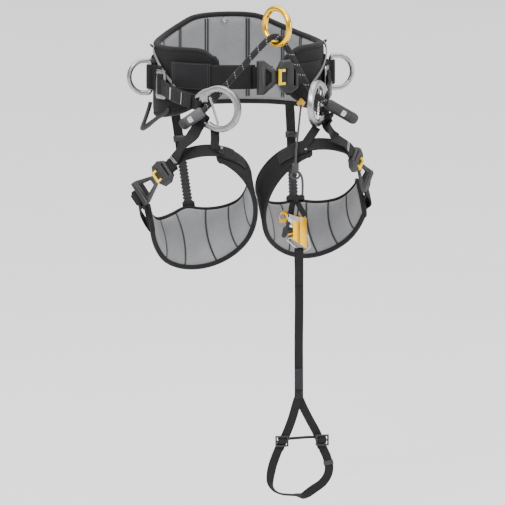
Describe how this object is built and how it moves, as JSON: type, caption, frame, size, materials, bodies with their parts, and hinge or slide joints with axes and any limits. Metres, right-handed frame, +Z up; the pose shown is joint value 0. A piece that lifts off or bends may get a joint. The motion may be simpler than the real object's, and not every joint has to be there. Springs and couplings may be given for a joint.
{
  "type": "tree climbing saddle",
  "caption": "Padded work-positioning saddle with waist belt, two leg loops, rope bridge with sliding ring, side rings, chest-height ascender and hanging foot strap.",
  "frame": {"origin": "middle of the waist opening, at mid height of the waist webbing", "axes": "+Z up, -Y to the wearer's front, +X to the wearer's left"},
  "size_m": [0.4478, 0.3759, 0.8855],
  "materials": {
    "shell_cloth": "woven polyester",
    "pad_mesh": "brushed mesh over foam",
    "latch_yellow": "satin moulded",
    "dark_plastic": "fine spark-eroded",
    "forged_aluminium": "satin anodised",
    "bright_steel": "bright",
    "gold_ring": "gold anodised",
    "gold_frame": "gold anodised",
    "black_cam": "black chromed",
    "bridge_cover": "braided cover with pale tracers",
    "sleeve_rubber": "moulded",
    "grey_cord": "braided",
    "amber_tab": "translucent moulded",
    "label_cloth": "woven label",
    "stay_tape": "narrow tape",
    "ribbed_elastic": "ribbed elastic",
    "black_webbing": "woven webbing"
  },
  "bodies": {
    "saddle": {"belt_sleeve": "black_webbing", "belt_webbing": "black_webbing", "bridge_rope": "bridge_cover", "bridge_sleeves": "sleeve_rubber", "cord_tab": "amber_tab", "d_ring_tabs": "black_webbing", "front_webbing": "black_webbing", "gear_loop": "dark_plastic", "hip_adjusters": "forged_aluminium", "hip_straps": "black_webbing", "left_elastic_riser": "ribbed_elastic", "left_gated_ring": "forged_aluminium", "rear_risers": "black_webbing", "right_elastic_riser": "ribbed_elastic", "right_gated_ring": "forged_aluminium", "ring_bars": "bright_steel", "riser_sliders": "dark_plastic", "stay_straps": "stay_tape", "suspender_snap": "bright_steel", "waist_buckle_body": "dark_plastic", "waist_buckle_frame": "dark_plastic", "waist_pad": "pad_mesh", "waist_shell": "shell_cloth"},
    "waist_latch": {"waist_latch": "latch_yellow"},
    "right_d_ring": {"right_d_ring": "forged_aluminium"},
    "left_d_ring": {"left_d_ring": "forged_aluminium"},
    "bridge_ring": {"bridge_ring": "gold_ring"},
    "right_leg": {"right_leg_shell": "shell_cloth", "right_leg_pad": "pad_mesh", "right_leg_strap": "black_webbing", "right_adjust_strap": "black_webbing", "right_leg_buckle_frame": "dark_plastic", "right_leg_buckle_body": "dark_plastic", "right_front_risers": "black_webbing", "right_riser_tab": "black_webbing"},
    "right_leg_latch": {"right_leg_latch": "latch_yellow"},
    "left_leg": {"left_leg_shell": "shell_cloth", "left_leg_pad": "pad_mesh", "left_leg_strap": "black_webbing", "left_adjust_strap": "black_webbing", "left_leg_buckle_frame": "dark_plastic", "left_leg_buckle_body": "dark_plastic", "left_front_risers": "black_webbing", "left_riser_tab": "black_webbing"},
    "left_leg_latch": {"left_leg_latch": "latch_yellow"},
    "ascent_kit": {"accessory_cord": "grey_cord", "cord_knot": "grey_cord", "cord_loop": "grey_cord", "webbing_keeper": "black_webbing", "ascender_webbing": "black_webbing", "ascender_frame": "gold_frame", "cam_axle": "bright_steel", "lower_link": "bright_steel"},
    "ascender_cam": {"ascender_cam": "black_cam"},
    "foot_step": {"foot_strap": "black_webbing", "strap_label": "label_cloth", "foot_branches": "black_webbing", "foot_loop": "black_webbing"},
    "foot_adjuster": {"foot_sliders": "dark_plastic", "instep_strap": "black_webbing"}
  },
  "joints": [
    {"name": "waist_latch_slide", "type": "slide", "parent": "saddle", "child": "waist_latch", "axis": [0.9781, 0.2079, 0], "range_m": [0, 0.003], "stiffness_N_per_m": 800},
    {"name": "right_d_ring_swing", "type": "hinge", "parent": "saddle", "child": "right_d_ring", "pos_m": [-0.166, -0.02, -0.009], "axis": [0, 0, 1], "range_deg": [-50, 50]},
    {"name": "left_d_ring_swing", "type": "hinge", "parent": "saddle", "child": "left_d_ring", "pos_m": [0.166, -0.02, -0.009], "axis": [0, 0, 1], "range_deg": [-50, 50]},
    {"name": "bridge_ring_swing", "type": "hinge", "parent": "saddle", "child": "bridge_ring", "pos_m": [0.028, -0.2, 0.0785], "axis": [1, 0, 0], "range_deg": [-25, 6]},
    {"name": "right_leg_swing", "type": "hinge", "parent": "saddle", "child": "right_leg", "pos_m": [-0.1, -0.2, -0.086], "axis": [1, 0, 0], "range_deg": [-5, 8], "deforming": ["right_elastic_riser"]},
    {"name": "left_leg_swing", "type": "hinge", "parent": "saddle", "child": "left_leg", "pos_m": [0.1, -0.2, -0.086], "axis": [1, 0, 0], "range_deg": [-5, 8], "deforming": ["left_elastic_riser"]},
    {"name": "right_leg_latch_slide", "type": "slide", "parent": "right_leg", "child": "right_leg_latch", "axis": [0.6395, -0.3597, 0.6795], "range_m": [0, 0.003], "stiffness_N_per_m": 800},
    {"name": "left_leg_latch_slide", "type": "slide", "parent": "left_leg", "child": "left_leg_latch", "axis": [-0.4505, -0.4505, 0.7708], "range_m": [0, 0.003], "stiffness_N_per_m": 800},
    {"name": "ascent_kit_swing", "type": "hinge", "parent": "saddle", "child": "ascent_kit", "pos_m": [0.091, -0.112, -0.052], "axis": [1, 0, 0], "range_deg": [-25, 0]},
    {"name": "ascender_cam_pivot", "type": "hinge", "parent": "ascent_kit", "child": "ascender_cam", "pos_m": [0.046, -0.232, -0.256], "axis": [0, 1, 0], "range_deg": [0, 35], "stiffness_Nm_per_rad": 0.06},
    {"name": "foot_step_swing", "type": "hinge", "parent": "ascent_kit", "child": "foot_step", "pos_m": [0.058, -0.2245, -0.301], "axis": [1, 0, 0], "range_deg": [-60, 40]},
    {"name": "foot_adjuster_slide", "type": "slide", "parent": "foot_step", "child": "foot_adjuster", "axis": [0, 0, 1], "range_m": [-0.005, 0.005]}
  ]
}
